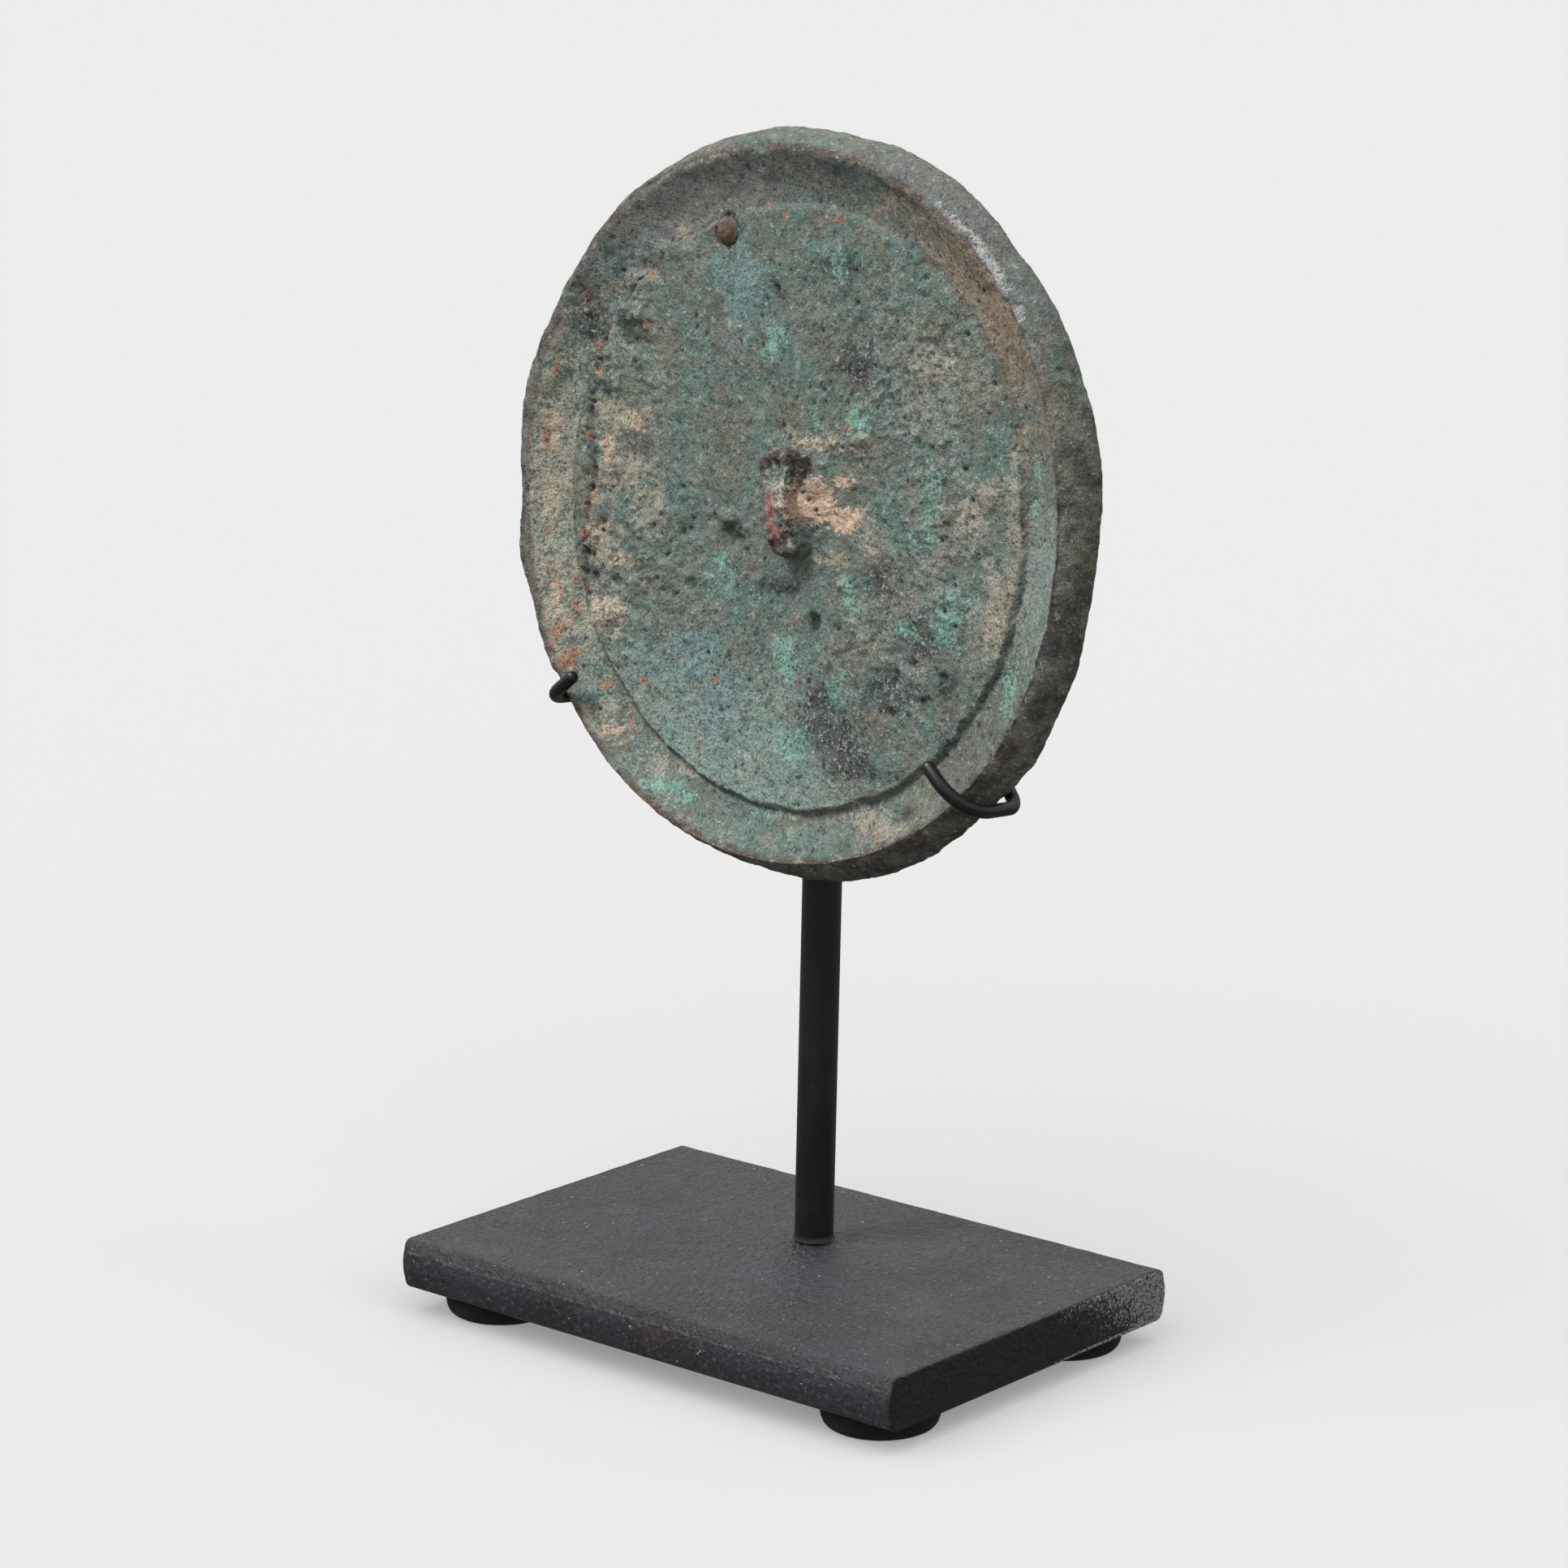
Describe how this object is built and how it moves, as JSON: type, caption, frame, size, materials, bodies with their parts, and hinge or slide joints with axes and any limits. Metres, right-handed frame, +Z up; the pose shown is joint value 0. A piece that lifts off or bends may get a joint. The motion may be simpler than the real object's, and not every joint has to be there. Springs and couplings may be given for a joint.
{
  "type": "ancient bronze mirror on a display stand",
  "caption": "Round cast bronze mirror with raised rim, stepped field and central bridge knob, corroded green, held upright by hooks on a black post and plate.",
  "frame": {"origin": "on the floor under the middle of the whole object's box, under the mirror's middle", "axes": "+Z up; +X along the base plate's long side, to the right seen from the knobbed side; -Y towards the viewer of the knobbed side, which leans back a little"},
  "size_m": [0.0886, 0.0522, 0.1436],
  "materials": {
    "bronze": "corroded grey-green patina with earth",
    "painted_steel": "matte black paint over mill scale",
    "rubber": "matte black"
  },
  "bodies": {
    "root": {"mirror": "bronze", "base_plate": "painted_steel", "post": "painted_steel", "left_hook": "painted_steel", "right_hook": "painted_steel", "foot_front_left": "rubber", "foot_front_right": "rubber", "foot_back_left": "rubber", "foot_back_right": "rubber"}
  },
  "joints": []
}
